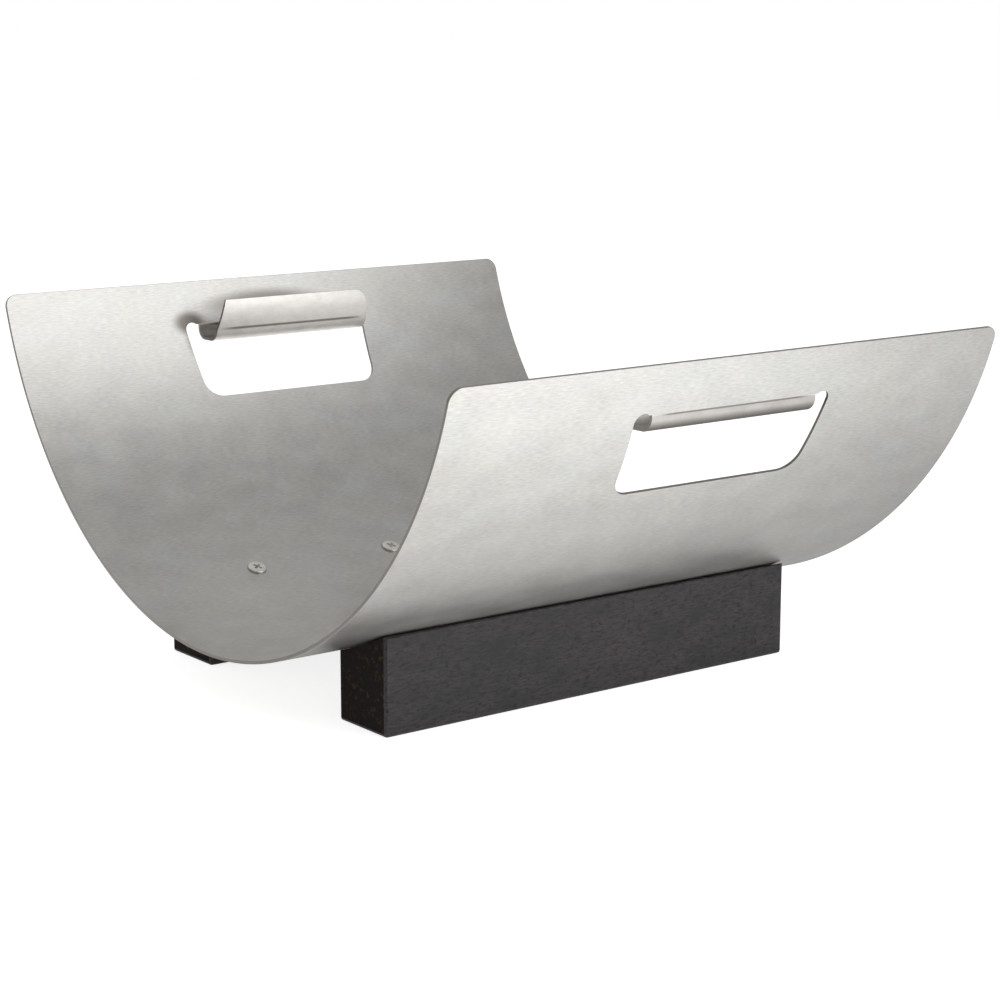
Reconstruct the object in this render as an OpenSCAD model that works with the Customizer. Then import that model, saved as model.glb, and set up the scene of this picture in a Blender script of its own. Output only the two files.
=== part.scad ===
// Log holder for the hearth. One sheet of brushed stainless steel is rolled into an
// open trough for logs. Each long side has a hand hole, and the tab that was cut for
// the hole is curled into the trough as a smooth grip. The sheet is screwed down onto
// two wooden feet whose tops are bevelled to meet the curve.
// Millimetres, +X along the logs, +Y across, +Z up, origin on the floor at the middle.

/* [Trough] */
// Length of the sheet, along the logs
trough_l = 400; // [340:5:480]
// Width across the two top edges, on the outside of the sheet
trough_w = 493; // [450:1:560]
// Height of the top edges over the lowest point of the sheet
trough_depth = 188; // [160:1:205]
// Thickness of the sheet
sheet_t = 2; // [1.2:0.1:3]
// Radius of the four corners of the sheet
corner_r = 8; // [2:1:20]

/* [Hand holes] */
// Distance along the sheet from the top edge to the line where the tab bends
hole_drop = 30; // [25:1:45]
// Width of the slit that frees each side of the tab
slit_w = 11; // [6:0.5:14]
// Height that the rounded slit ends rise past the bend line
slit_over = 1.3; // [0:0.1:3]
// Width that each side of the hand hole loses from top to bottom
hole_taper = 3.7; // [0:0.1:8]
// Radius of the two bottom corners of the hand hole
hole_corner_r = 13; // [6:1:18]

/* [Grips] */
// Width of the curled tab, along the logs
grip_w = 121.4; // [100:0.2:150]
// Inside radius of the small bend that turns the tab plumb
root_r = 2; // [1:0.5:5]
// Length of the plumb stretch below that bend
grip_drop = 1; // [0:0.5:5]
// Inside radius of the bend under the outer side of the grip
outer_bend_r = 6; // [3:0.5:9]
// Length of the level stretch under the grip
grip_floor = 8; // [4:0.5:14]
// Inside radius of the bend under the inner side of the grip
inner_bend_r = 7.5; // [4:0.5:11]
// Angle by which the inner wall leans into the trough where it starts
wall_lean = 10; // [0:1:20]
// Radius to which the inner wall is rolled back
wall_r = 50; // [35:1:90]
// Angle through which the inner wall is rolled back
wall_turn = 23; // [12:1:28]
// Radius of the right free corner of the tab
grip_corner_r = 9; // [2:0.5:12]
// Width that the slanted left end of the inner wall loses up to the free edge
grip_slant_w = 7.5; // [2:0.5:10]

/* [Feet] */
// Length of each foot, along the logs
foot_l = 306; // [240:1:360]
// Width of each foot
foot_w = 47; // [34:1:60]
// Distance from the middle of the trough to the middle of each foot
foot_y = 96; // [80:1:115]
// Height of the lowest point of the sheet over the floor
stand_h = 31; // [26:1:50]
// Size of the small chamfer along the edges of the wood
arris = 1.2; // [0.5:0.1:3]

/* [Screws] */
// Distance between neighbouring screws on a foot
screw_pitch = 104; // [60:1:110]
// Diameter of the head
head_d = 12.5; // [10:0.1:15]
// Height of the head
head_h = 1.5; // [1.2:0.1:4]
// Diameter of the shank
shank_d = 6; // [4:0.1:7]
// Length of the screw below its head
screw_l = 30; // [20:1:36]
// Radial clearance of the sheet around the shank
hole_clear = 0.3; // [0.1:0.1:0.6]

/* [Hidden] */
// Roundness of small circles, and of the great arc of the trough
$fn = 96;
ARC_FN = 360;
// Largest turn between two neighbouring points of the curled tab's outline, in degrees
bend_step = 6;
// Largest angle between two corners of the wedge that cuts a part from a ring, in degrees
wedge_step = 60;
// Overrun of every cut past the solid that it cuts
overrun = 3;
// Clearance between the sheet and the bevel of a foot
seat_gap = 0.1;
// Depth of the chamfer around the top of a screw head, as a share of the head's height
head_edge_share = 0.4;
// Cross recess of a screw head, as shares of the head's diameter and height
recess_l_share = 0.48;
recess_w_share = 0.13;
recess_depth_share = 0.75;
// Length of the screw's point, in shank diameters
point_share = 1.2;

// The great arc: outer, inner and middle radius, half angle and height of its axis
out_r = (pow(trough_w/2, 2) + pow(trough_depth, 2))/(2*trough_depth);
in_r = out_r - sheet_t;
mid_r = out_r - sheet_t/2;
half_a = asin(trough_w/2/out_r);
axis_z = stand_h + out_r;

// Angles on the great arc, measured from its lowest point
root_a = half_a - angle_of(hole_drop, mid_r);
foot_a = asin(foot_y/out_r);

// The curled tab as a run of stretches from the bend line to its free edge. Each is
// [length, turn], in which a turn to the left is positive.
grip = [
    bend(root_r, 90 - root_a),
    [grip_drop, 0],
    bend(outer_bend_r, -90),
    [grip_floor, 0],
    bend(inner_bend_r, wall_lean - 90),
    bend(wall_r, -wall_turn)
];
// The hand hole is as long as the tab that came out of it
hole_l = sum_of([for (stretch = grip) stretch[0]]);
hole_a = root_a - angle_of(hole_l/2, mid_r);

// Height of the underside of a screw head over the middle of the sheet, where the
// rim of the head meets the hollow side
head_z = mid_r - sqrt(pow(in_r, 2) - pow(head_d/2, 2));

// Half outline of the shank and point of a screw, up to its head
shank_outline = [
    [0, head_z - screw_l],
    [shank_d/2, head_z - screw_l + point_share*shank_d],
    [shank_d/2, head_z]
];

// Angle that an arc of length l takes up at radius r
function angle_of(l, r) = l/r*180/PI;

function sum_of(list, i = 0) = i < len(list) ? list[i] + sum_of(list, i + 1) : 0;

// One bent stretch of the tab, from its inside radius and the angle that it turns
function bend(r, turn) = [PI/180*abs(turn)*(r + sheet_t/2), turn];

// Unit vector at an angle in the cross section, seen along the logs
function heading(a) = [cos(a), sin(a)];

// Straight distance from one end of a stretch to the other
function chord(stretch) = stretch[1] == 0 ? stretch[0]
    : stretch[0]*sin(stretch[1]/2)/(stretch[1]/2*PI/180);

// The place on the middle of the tab at a share of stretch number i, as [point, heading]
function place_on(i, share) = let (
    start = i == 0
        ? [[0, axis_z] + mid_r*heading(root_a - 90), root_a - 180]
        : place_on(i - 1, 1),
    part = share*grip[i]
) [start[0] + chord(part)*heading(start[1] + part[1]/2), start[1] + part[1]];

// Point at distance d to the left of a place on the tab
function beside(place, d) = place[0] + d*heading(place[1] + 90);

// All places that the tab's outline runs through, from the bend line to the free edge
tab_places = concat([place_on(0, 0)], [
    for (i = [0:len(grip) - 1])
        let (steps = max(1, ceil(abs(grip[i][1])/bend_step)))
            for (k = [1:steps]) place_on(i, k/steps)
]);

// Point at distance d from a on the way to b
function towards(a, b, d) = a + d*(b - a)/norm(b - a);

// Outline with each corner cut off at distance c
function chamfered(points, c) = let (n = len(points)) [
    for (i = [0:n - 1])
        for (next = [points[(i + n - 1)%n], points[(i + 1)%n]])
            towards(points[i], next, c)
];

// Stands a cross section up and gives it its length along the logs
module along_logs(l) {
    rotate([90, 0, 90]) linear_extrude(l, center = true) children();
}

// Children as they are and mirrored to the other end of the trough
module both_ends() {
    children();
    mirror([1, 0, 0]) children();
}

// Children as they are and mirrored to the other long side
module both_sides() {
    children();
    mirror([0, 1, 0]) children();
}

// Part of a flat ring between two angles
module ring_part(r_in, r_out, a_from, a_to) {
    reach = 2*r_out;
    steps = ceil(abs(a_to - a_from)/wedge_step);
    intersection() {
        difference() {
            circle(r_out);
            circle(r_in);
        }
        polygon(concat(
            [[0, 0]],
            [for (i = [0:steps]) reach*heading(a_from + (a_to - a_from)*i/steps)]
        ));
    }
}

// Part of the cross section of the trough, between two angles on its arc
module arc_part(r_in, r_out, a_from, a_to) {
    translate([0, axis_z]) ring_part(r_in, r_out, a_from - 90, a_to - 90, $fn = ARC_FN);
}

// Lays children on the sheet at an angle up its back side, +Z towards the axis
module on_sheet(a) {
    translate([0, 0, axis_z]) rotate([a, 0, 0]) translate([0, 0, -mid_r]) children();
}

// Block that cuts a corner to radius r, in the quarter where x and y are positive
module corner_cut(r) {
    difference() {
        square(r + overrun);
        circle(r);
    }
}

// Cross section of the curled tab, with a tongue half as thick that ties it into the sheet
module tab_section() {
    root = tab_places[0];
    tongue = [root[0] - sheet_t*heading(root[1]), root[1]];
    polygon(concat(
        [beside(tongue, -sheet_t/4), beside(tongue, sheet_t/4), beside(root, sheet_t/4)],
        [for (place = tab_places) beside(place, sheet_t/2)],
        [for (k = [len(tab_places) - 1:-1:0]) beside(tab_places[k], -sheet_t/2)],
        [beside(root, -sheet_t/4)]
    ));
}

// The curled tab of the back side. Its right free corner is rounded. Its left end is cut
// at a slant, from the end of the inner bend to the free edge.
module curled_tab() {
    free_edge = tab_places[len(tab_places) - 1][0];
    slant_h = free_edge[1] - place_on(4, 1)[0][1];
    past = overrun*[grip_slant_w/slant_h, 1];
    difference() {
        along_logs(grip_w) tab_section();
        translate([0, free_edge[0], free_edge[1]])
            rotate([90, 0, 0])
                linear_extrude(2*inner_bend_r, center = true) {
                    translate([grip_w/2 - grip_corner_r, -grip_corner_r])
                        corner_cut(grip_corner_r);
                    polygon([
                        [-grip_w/2, -slant_h] - past,
                        [grip_slant_w - grip_w/2, 0] + past,
                        [-grip_w/2 - overrun, overrun]
                    ]);
                }
    }
}

// Outline of the hand hole in the flat sheet: its lower part and the two slit heads
module hole_outline() {
    // Lower and upper corner of its right side, before any rounding
    side = [
        [grip_w/2 + slit_w - hole_taper, -hole_l/2],
        [grip_w/2 + slit_w, hole_l/2 + slit_over - slit_w/2]
    ];
    side_a = atan(hole_taper/(side[1][1] - side[0][1]));
    cut_back = hole_corner_r*tan((90 - side_a)/2);
    half = [
        side[0] - [cut_back, 0],
        towards(side[0], side[1], cut_back),
        side[1]
    ];
    polygon(concat(half, [for (k = [len(half) - 1:-1:0]) [-half[k][0], half[k][1]]]));
    both_ends() {
        translate(half[0] + [0, hole_corner_r]) circle(hole_corner_r);
        translate(side[1] - [slit_w/2, 0]) circle(d = slit_w);
    }
}

// Cutter for the hand hole of the back side. The second part frees it up to the bend
// line, and its own sides end in the middle of the slits.
module hand_hole() {
    on_sheet(hole_a)
        linear_extrude(sheet_t + 2*overrun, center = true) hole_outline();
    along_logs(grip_w + slit_w)
        arc_part(in_r - overrun, out_r + overrun, hole_a, root_a);
}

// Cutter for the two corners of the back top edge
module top_corners() {
    both_ends()
        on_sheet(half_a)
            translate([trough_l/2 - corner_r, -corner_r])
                linear_extrude(sheet_t + 2*overrun, center = true) corner_cut(corner_r);
}

// Places children at each screw of one foot of the back side, +Z towards the axis
module at_screws(places = [-1:1]) {
    for (i = places)
        translate([i*screw_pitch, 0, 0]) on_sheet(foot_a) children();
}

module trough_sheet() {
    color("silver") {
        difference() {
            along_logs(trough_l) arc_part(in_r, out_r, -half_a, half_a);
            both_sides() {
                hand_hole();
                top_corners();
                at_screws()
                    cylinder(h = sheet_t + 2*overrun, d = shank_d + 2*hole_clear, center = true);
            }
        }
        both_sides() curled_tab();
    }
}

// Block of wood under the back side, bevelled to the slope of the sheet
module back_foot() {
    seat_z = axis_z - (out_r + seat_gap)*cos(foot_a);
    seat_y = (out_r + seat_gap)*sin(foot_a);
    inner_y = foot_y - foot_w/2;
    outer_y = foot_y + foot_w/2;
    section = [
        [inner_y, 0],
        [outer_y, 0],
        [outer_y, seat_z + (outer_y - seat_y)*tan(foot_a)],
        [inner_y, seat_z + (inner_y - seat_y)*tan(foot_a)]
    ];
    color([0.16, 0.13, 0.12]) difference() {
        along_logs(foot_l) polygon(chamfered(section, arris));
        at_screws() rotate_extrude() polygon(concat(shank_outline, [[0, head_z]]));
    }
}

module front_foot() {
    mirror([0, 1, 0]) back_foot();
}

// One screw of the back side; place is -1, 0 or 1 along the foot
module back_screw(place) {
    edge = head_edge_share*head_h;
    top_z = head_z + head_h;
    color([0.72, 0.71, 0.68]) at_screws([place]) difference() {
        rotate_extrude() polygon(concat(shank_outline, [
            [head_d/2, head_z],
            [head_d/2, top_z - edge],
            [head_d/2 - edge, top_z],
            [0, top_z]
        ]));
        for (turn = [0, 90])
            translate([0, 0, top_z]) rotate(turn) cube([
                recess_l_share*head_d,
                recess_w_share*head_d,
                2*recess_depth_share*head_h
            ], center = true);
    }
}

module front_screw(place) {
    mirror([0, 1, 0]) back_screw(place);
}

trough_sheet();
front_foot();
back_foot();
front_screw(-1);  // front_screw_left
front_screw(0);  // front_screw_middle
front_screw(1);  // front_screw_right
back_screw(-1);  // back_screw_left
back_screw(0);  // back_screw_middle
back_screw(1);  // back_screw_right
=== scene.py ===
"""Log holder for the hearth: a rolled sheet of brushed stainless steel on two wooden feet.

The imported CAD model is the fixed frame. Each operator makes one piece, or one group of
like pieces, around it, in the same place and to the same sizes. Metres, +X along the
logs, +Y across, +Z up, origin on the floor.
"""

import math

import bmesh
import bpy
import numpy as np
from bpy.props import FloatProperty, FloatVectorProperty, PointerProperty
from mathutils import Matrix, Vector
from mathutils.geometry import delaunay_2d_cdt


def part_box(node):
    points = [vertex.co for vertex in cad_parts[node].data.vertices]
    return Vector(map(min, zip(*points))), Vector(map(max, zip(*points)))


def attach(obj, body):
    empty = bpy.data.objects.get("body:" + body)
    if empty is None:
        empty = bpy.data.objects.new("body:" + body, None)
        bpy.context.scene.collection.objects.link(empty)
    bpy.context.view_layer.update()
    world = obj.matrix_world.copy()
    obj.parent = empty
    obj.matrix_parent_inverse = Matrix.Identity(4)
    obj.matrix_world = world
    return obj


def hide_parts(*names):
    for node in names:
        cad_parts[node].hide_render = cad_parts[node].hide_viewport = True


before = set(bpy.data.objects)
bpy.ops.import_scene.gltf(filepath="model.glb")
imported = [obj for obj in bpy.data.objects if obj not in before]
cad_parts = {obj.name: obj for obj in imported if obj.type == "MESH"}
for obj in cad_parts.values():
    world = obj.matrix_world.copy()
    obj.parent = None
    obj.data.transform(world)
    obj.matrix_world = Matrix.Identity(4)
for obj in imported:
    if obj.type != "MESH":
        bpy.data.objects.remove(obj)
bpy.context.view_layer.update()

bl_info = {
    "name": "Log Holder",
    "version": (1, 0, 0),
    "blender": (4, 5, 0),
    "location": "3D View > Sidebar > Log Holder",
    "description": "Dresses the log holder: rolled sheet, wooden feet, screws and stage",
    "category": "Object",
}

MM = 0.001
BODY = "root"
SHEET_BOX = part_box("trough_sheet")
FOOT_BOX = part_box("back_foot")
SCREW_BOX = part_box("back_screw_middle")
BEND_PARTS = ("Start", "Length", "Turn")


def length(name, default_mm, description):
    """A length property, with its default given in millimetres."""
    return FloatProperty(
        name=name, description=description, default=default_mm * MM, min=0, unit="LENGTH"
    )


def angle(name, default, description):
    """An angle property, with its default given in degrees."""
    return FloatProperty(
        name=name, description=description, default=math.radians(default), subtype="ANGLE"
    )


def strength(name, default, description, unit="NONE"):
    """A property for the strength of a light."""
    return FloatProperty(name=name, description=description, default=default, min=0, unit=unit)


def colour(name, default, description):
    """A colour property, with its default given as an sRGB hex value."""
    return FloatVectorProperty(
        name=name, description=description, default=linear(default), size=3,
        min=0, max=1, subtype="COLOR",
    )


def linear(code):
    """An sRGB hex value as linear red, green and blue."""
    parts = [int(code[i:i + 2], 16) / 255 for i in (1, 3, 5)]
    return tuple(p / 12.92 if p <= 0.04045 else ((p + 0.055) / 1.055) ** 2.4 for p in parts)


class TroughSettings(bpy.types.PropertyGroup):
    length: length("Length", 400, "Length of the sheet, along the logs")
    width: length("Width", 493, "Width across the two top edges")
    depth: length("Depth", 188, "Height of the top edges over the lowest point")
    stand: length("Stand height", SHEET_BOX[0].z / MM, "Height of the sheet over the floor")
    thickness: length("Sheet thickness", 2, "Thickness of the sheet")
    corner: length("Corner radius", 8, "Radius of the four corners of the sheet")
    edge: length("Edge radius", 0.35, "Radius to which the cut edges are deburred")
    hole_drop: length("Hole drop", 30, "Distance from the top edge to the bend of the grip")
    hole_corner: length("Hole corner radius", 13, "Radius of the hand hole's bottom corners")
    hole_taper: length("Hole taper", 3.7, "What each side of the hole loses to its bottom")
    slit: length("Slit width", 11, "Width of the slit beside the grip")
    slit_over: length("Slit rise", 1.3, "Height of the slit heads over the bend")
    grip_width: length("Grip width", 121.4, "Width of the curled tab")
    grip_corner: length("Grip corner radius", 9, "Radius of the tab's right free corner")
    grip_slant: length("Grip slant", 7.5, "What the wall's slanted left end loses to its top")
    root_bend: length("Root bend", 2, "Inside radius of the bend at the tab's root")
    drop: length("Drop", 1, "Length of the plumb stretch below the root")
    outer_bend: length("Outer bend", 6, "Inside radius of the bend on the outer side")
    floor: length("Grip floor", 8, "Length of the level stretch under the grip")
    inner_bend: length("Inner bend", 7.5, "Inside radius of the bend on the inner side")
    wall_roll: length("Wall roll", 50, "Radius to which the inner wall is rolled back")
    wall_lean: angle("Wall lean", 10, "Lean of the inner wall where it starts")
    wall_turn: angle("Wall turn", 23, "Angle through which the inner wall is rolled back")
    light: colour("Light steel", "#D5D5D2", "Reflection of the steel on the ridges")
    dark: colour("Dark steel", "#B8B7B5", "Reflection of the steel in the grooves")
    haze: colour("Warm haze", "#FFFDFA", "Faint warm tint of parts of the sheet")
    warm: colour("Worked steel", "#E8E4E0", "Tint of the steel where the tab was worked")
    # Painted shade: this colour darkens the tab's gutter and the outer band under its bend, where
    # shade falls
    film: colour("Film", "#57514B", "Brown film that the forming left inside the gutter")
    # Painted shade: thin dark lines in the creases of the tab's bends
    crease_shade: colour("Press lines", "#665C57", "Reflection of the lines that the press left")
    # Painted shade and painted reflection on the inner side, over each grip and round its left
    # slit head
    grip_shade: colour("Handled steel", "#7C7672", "Steel dulled by hands round the grips")
    cut: colour("Cut steel", "#98938D", "Reflection of the bare cut edges")


class FeetSettings(bpy.types.PropertyGroup):
    length: length("Length", (FOOT_BOX[1].x - FOOT_BOX[0].x) / MM, "Length of each foot")
    width: length("Width", 47, "Width of each foot")
    place: length("Place", 96, "Distance from the middle of the trough to each foot")
    gap: length("Seat gap", 0.1, "Clearance between the sheet and the seat of a foot")
    edge: length("Edge radius", 2, "Radius of the eased edges of the wood")
    stain: colour("Stain", "#3A383B", "Colour of the stained wood along the grain")
    pore: colour("Pores", "#171417", "Colour of the open pores")
    warm: colour("Warm wood", "#504A4C", "Grey brown of the wood where the stain is thin")
    # The end grain's colour also holds painted shade, for ends that face away from the light
    end: colour("End grain", "#19100C", "Colour of the stained end grain")
    fleck: colour("End flecks", "#7C6638", "Lighter rays that show in the end grain")
    # Partly rubbed stain, partly a painted highlight on the arris under the sheet
    rubbed_and_highlight: colour("Rubbed arris", "#4A464A", "Colour of the arris, where the stain is thin")


class ScrewSettings(bpy.types.PropertyGroup):
    pitch: length("Pitch", 104, "Distance between neighbouring screws on a foot")
    head: length("Head diameter", (SCREW_BOX[1].x - SCREW_BOX[0].x) / MM, "Diameter of the head")
    rise: length("Head height", 1.5, "Height of the head")
    shank: length("Shank diameter", 6, "Diameter of the shank")
    reach: length("Length", 30, "Length below the head")
    metal: colour("Steel", "#E2E0DA", "Reflection of the screws' steel")


class StageSettings(bpy.types.PropertyGroup):
    floor: colour("Floor", "#E7E7E7", "Colour of the floor")
    key: strength("Key light", 8.6, "Power of the large soft lamp", unit="POWER")
    key_width: length("Key width", 1100, "Width of the large soft lamp")
    key_height: length("Key height", 1400, "Height of the large soft lamp")
    around: strength("Light around", 0.3, "Strength of the even light of the room")
    above: strength("Light above", 0.11, "Strength of the soft light from above")
    behind: strength("Light behind", 0.34, "Strength of the light from the backdrop")
    white: strength("Floor lift", 0.8, "Light that turns the floor white for the eye")
    pool: strength("Floor pool", 1, "Brightness of the lit floor, as metal shows it")


def add(tree, kind, links=None, **settings):
    """Adds a node. Its links give an input a value, a socket, or another node's output.

    A kind that names no family is a shader node. The first live output of a node is taken.
    """
    node = tree.nodes.new(kind if "Node" in kind else "ShaderNode" + kind)
    for name, value in settings.items():
        setattr(node, name, value)
    for key, value in (links or {}).items():
        if isinstance(value, bpy.types.Node):
            value = next(output for output in value.outputs if output.enabled)
        if isinstance(value, bpy.types.NodeSocket):
            tree.links.new(value, node.inputs[key])
        else:
            node.inputs[key].default_value = value
    return node


def chain(tree, s, steps):
    """Adds nodes in a row. Each step has its name, its kind, and its inputs in order.

    A kind may be followed by its way of working, in capitals, and a way alone belongs to
    the Math node. An input is a value, or the name of what is known already. MapRange
    takes a value, the two ends of its range, and the two that they become.
    """
    for name, kind, *inputs in steps:
        kind, _, way = ("Math " + kind if kind.isupper() else kind).partition(" ")
        setting = "interpolation_type" if kind == "MapRange" else "operation"
        links = {k: s[v] if isinstance(v, str) else v for k, v in enumerate(inputs)}
        s[name] = add(tree, kind, links, label=name, **({setting: way} if way else {}))


def new_material(name, build):
    """A material whose surface is the shader that build returns for its tree."""
    material = bpy.data.materials.new(name)
    material.use_nodes = True
    tree = material.node_tree
    tree.nodes.clear()
    add(tree, "OutputMaterial", {"Surface": build(tree)})
    return material


def pattern(tree, place, scale, detail, roughness, shift=(0, 0, 0)):
    """A cloudy pattern with so many clouds to the metre along each axis."""
    at = add(tree, "Mapping", {"Vector": place, "Location": shift, "Scale": scale})
    return add(tree, "TexNoise", {
        "Vector": at, "Scale": 1, "Detail": detail, "Roughness": roughness})


def section_of(trough):
    """Sizes of the cross section that follow from the settings, in metres and radians.

    The runs are the stretches of a tab from its root: where each starts, how long it is,
    and through what angle it turns.
    """
    out_r = ((trough.width / 2) ** 2 + trough.depth ** 2) / (2 * trough.depth)
    mid_r = out_r - trough.thickness / 2
    half_a = math.asin(trough.width / 2 / out_r)
    root_s = mid_r * half_a - trough.hole_drop
    half_t = trough.thickness / 2
    quarter = math.pi / 2
    stretches = [
        (trough.root_bend + half_t, quarter - root_s / mid_r),
        (trough.drop, 0),
        (trough.outer_bend + half_t, -quarter),
        (trough.floor, 0),
        (trough.inner_bend + half_t, trough.wall_lean - quarter),
        (trough.wall_roll + half_t, -trough.wall_turn),
    ]
    runs, start = [], 0
    for size, turn in stretches:
        run = size * abs(turn) if turn else size
        runs.append((start, run, turn))
        start += run
    return {
        "mid_r": mid_r, "edge_s": mid_r * half_a, "root_s": root_s,
        "axis_z": trough.stand + out_r, "runs": runs, "tab_l": start,
    }


def arc(centre, radius, start, end, steps):
    """Points on an arc between two angles in degrees, both ends included."""
    angles = np.radians(np.linspace(start, end, steps + 1))
    return [(centre[0] + radius * math.cos(a), centre[1] + radius * math.sin(a)) for a in angles]


def densed(points, gap_x, gap_s):
    """An open run of points with more of them on its long stretches."""
    out = []
    for a, b in zip(points, points[1:]):
        run_x, run_s = abs(b[0] - a[0]), abs(b[1] - a[1])
        steps = max(1, math.ceil(run_x / gap_x - 1e-6), math.ceil(run_s / gap_s - 1e-6))
        out += [(a[0] + (b[0] - a[0]) * k / steps, a[1] + (b[1] - a[1]) * k / steps)
                for k in range(steps)]
    return out + [points[-1]]


def insets(points):
    """For each point of a closed run, the way into the metal on its left, per unit of inset."""
    p = np.array(points)
    along = np.roll(p, -1, axis=0) - p
    along /= np.linalg.norm(along, axis=1)[:, None]
    left = np.stack([-along[:, 1], along[:, 0]], axis=1)
    before = np.roll(left, 1, axis=0)
    return (left + before) / (1 + (left * before).sum(axis=1))[:, None]


def inside(points, loops):
    """Which points lie inside the loops, by the even and odd rule."""
    x, y = points[:, 0][:, None], points[:, 1][:, None]
    crossings = np.zeros(len(points), int)
    for loop in loops:
        a = np.array(loop)
        b = np.roll(a, -1, axis=0)
        rise = np.where(b[:, 1] == a[:, 1], 1, b[:, 1] - a[:, 1])
        at = a[:, 0] + (y - a[:, 1]) / rise * (b[:, 0] - a[:, 0])
        crossings += (((a[:, 1] > y) != (b[:, 1] > y)) & (x < at)).sum(axis=1)
    return crossings % 2 == 1


def clear_of(points, loops, gap):
    """Which points keep that gap from every stretch of the loops."""
    nearest = np.full(len(points), np.inf)
    for loop in loops:
        a = np.array(loop)
        ab = np.roll(a, -1, axis=0) - a
        ap = points[:, None, :] - a[None]
        share = np.clip((ap * ab).sum(axis=2) / (ab * ab).sum(axis=1), 0, 1)
        away = np.linalg.norm(ap - share[..., None] * ab, axis=2)
        nearest = np.minimum(nearest, away.min(axis=1))
    return nearest > gap


def areas_of(faces, loops):
    """For each face, the first face of its area, where the loops part the areas."""
    walls = {frozenset(pair) for loop in loops for pair in zip(loop, loop[1:] + loop[:1])}
    beside = {}
    for k, face in enumerate(faces):
        for pair in map(frozenset, zip(face, face[1:] + face[:1])):
            if pair not in walls:
                beside.setdefault(pair, []).append(k)
    near = [[] for _ in faces]
    for k, *others in beside.values():
        for other in others:
            near[k].append(other)
            near[other].append(k)
    area = [None] * len(faces)
    for first in range(len(faces)):
        if area[first] is None:
            area[first], queue = first, [first]
            while queue:
                for k in near[queue.pop()]:
                    if area[k] is None:
                        area[k] = first
                        queue.append(k)
    return area


class Blank:
    """The sheet as it is cut, before it is rolled: sites in the plane, and what joins them."""

    def __init__(self):
        self.sites = []
        self.tab = []
        self.triangles = []
        self.rims = []

    def site(self, place, tab=0):
        """Adds a point of the plane and returns its number."""
        self.sites.append(tuple(place))
        self.tab.append(tab)
        return len(self.sites) - 1

    def rim(self, points, inset, tabs=None):
        """Adds a cut edge and returns the sites just inside it."""
        ways = insets(points)
        tabs = tabs or [0] * len(points)
        ids = [self.site(np.array(p) + inset * w, t) for p, w, t in zip(points, ways, tabs)]
        self.rims.append((points, ways, tabs, ids))
        return ids

    def fill(self, loops, inner, gap, tab=0):
        """Fills the area inside loops of sites with triangles, through the inner points."""
        outlines = [[self.sites[i] for i in loop] for loop in loops]
        inner = inner[inside(inner, outlines)]
        inner = inner[clear_of(inner, outlines, gap)]
        ids = [i for loop in loops for i in loop] + [self.site(p, tab) for p in inner]
        edges, start = [], 0
        for loop in loops:
            count = len(loop)
            edges += [(start + k, start + (k + 1) % count) for k in range(count)]
            start += count
        flat = [Vector(self.sites[i]) / MM for i in ids]
        _, _, faces, came_from, _, _ = delaunay_2d_cdt(flat, edges, [], 0, 1e-6)
        if any(not c for c in came_from):
            raise RuntimeError("the outlines of the blank cross each other")
        faces = [[ids[came_from[v][0]] for v in face] for face in faces]
        corners = np.array([[self.sites[i] for i in face] for face in faces])
        one, two = corners[:, 1] - corners[:, 0], corners[:, 2] - corners[:, 0]
        size = np.abs(one[:, 0] * two[:, 1] - one[:, 1] * two[:, 0]) / 2
        # A flat triangle lies on an outline, so the largest one answers for its whole area
        keep = inside(corners.mean(axis=1), outlines) & (size > 1e-4 * MM ** 2)
        area = areas_of(faces, loops)
        kept = {area[k]: keep[k] for k in np.argsort(size)}
        self.triangles += [face for face, own in zip(faces, area) if kept[own]]

    def mesh(self, name, thickness, edge):
        """The blank as a closed solid with eased edges, x and s in the plane and w upright."""
        count, half_t = len(self.sites), thickness / 2
        flat = [(x, s, half_t) for x, s in self.sites] + [(x, s, -half_t) for x, s in self.sites]
        normal = [(0, 0, 1)] * count + [(0, 0, -1)] * count
        tab = self.tab * 2
        faces = [tuple(t) for t in self.triangles]
        faces += [tuple(i + count for i in reversed(t)) for t in self.triangles]
        ease = np.radians([30, 60, 90])
        levels = [(edge * (1 - math.sin(a)), half_t - edge * (1 - math.cos(a)), a) for a in ease]
        levels += [(inset, -w, math.pi - a) for inset, w, a in reversed(levels)]
        for points, ways, tabs, ids in self.rims:
            rows = [ids]
            for inset, w, a in levels:
                rows.append(list(range(len(flat), len(flat) + len(points))))
                for p, way, t in zip(points, ways, tabs):
                    flat.append((p[0] + inset * way[0], p[1] + inset * way[1], w))
                    out = -way / np.linalg.norm(way) * math.sin(a)
                    normal.append((out[0], out[1], math.cos(a)))
                    tab.append(t)
            rows.append([i + count for i in ids])
            for upper, lower in zip(rows, rows[1:]):
                for k in range(len(points)):
                    n = (k + 1) % len(points)
                    faces.append((lower[k], lower[n], upper[n], upper[k]))
        mesh = bpy.data.meshes.new(name)
        mesh.from_pydata(flat, [], faces)
        for key, kind, field, values in (
            ("flat", "FLOAT_VECTOR", "vector", flat),
            ("flat_normal", "FLOAT_VECTOR", "vector", normal),
            ("tab", "FLOAT", "value", tab),
        ):
            data = mesh.attributes.new(key, kind, "POINT").data
            data.foreach_set(field, np.array(values, np.float32).ravel())
        return mesh


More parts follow.
